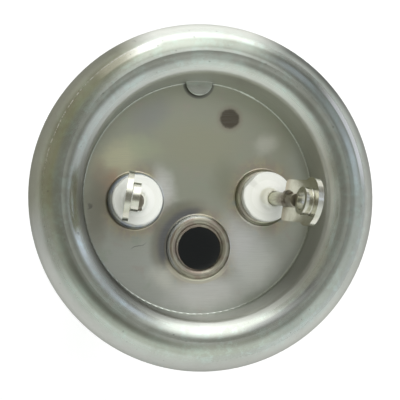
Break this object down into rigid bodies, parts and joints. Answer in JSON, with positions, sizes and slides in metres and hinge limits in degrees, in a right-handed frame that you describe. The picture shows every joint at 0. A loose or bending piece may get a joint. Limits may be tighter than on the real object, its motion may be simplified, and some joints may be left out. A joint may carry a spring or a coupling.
{
  "type": "water heater element",
  "caption": "Round pressed steel flange with a hairpin heating tube, a sensor pocket, screw terminals on ceramic bushes and an anode stud, for a storage water heater.",
  "frame": {"origin": "on the flange's axis, in the plane of the seating lip's free edge", "axes": "+Z out of the tank, towards the terminals; +X from the left terminal to the right one"},
  "size_m": [0.064, 0.064, 0.3084],
  "materials": {
    "flange_steel": "pressed stainless sheet, dull satin with heat tints",
    "tube_steel": "drawn stainless tube",
    "oxide": "compacted powder",
    "coil_wire": "resistance wire",
    "pin_steel": "plain steel pin, heat tinted at its end",
    "seal_rubber": "silicone seal",
    "bush_ceramic": "unglazed ivory ceramic",
    "tab_steel": "nickel-plated steel",
    "pocket_steel": "drawn stainless tube",
    "stud_steel": "plain stud",
    "weld_steel": "smooth weld bead, straw tinted"
  },
  "bodies": {
    "root": {"flange": "flange_steel", "sheath": "tube_steel", "oxide_outer": "oxide", "oxide_core": "oxide", "heating_coil": "coil_wire", "pin_left": "pin_steel", "pin_right": "pin_steel", "seal_left": "seal_rubber", "seal_right": "seal_rubber", "bush_left": "bush_ceramic", "bush_right": "bush_ceramic", "tab_left": "tab_steel", "tab_right": "tab_steel", "sensor_pocket": "pocket_steel", "anode_stud": "stud_steel", "weld_left": "weld_steel", "weld_right": "weld_steel", "weld_pocket": "weld_steel"}
  },
  "joints": []
}
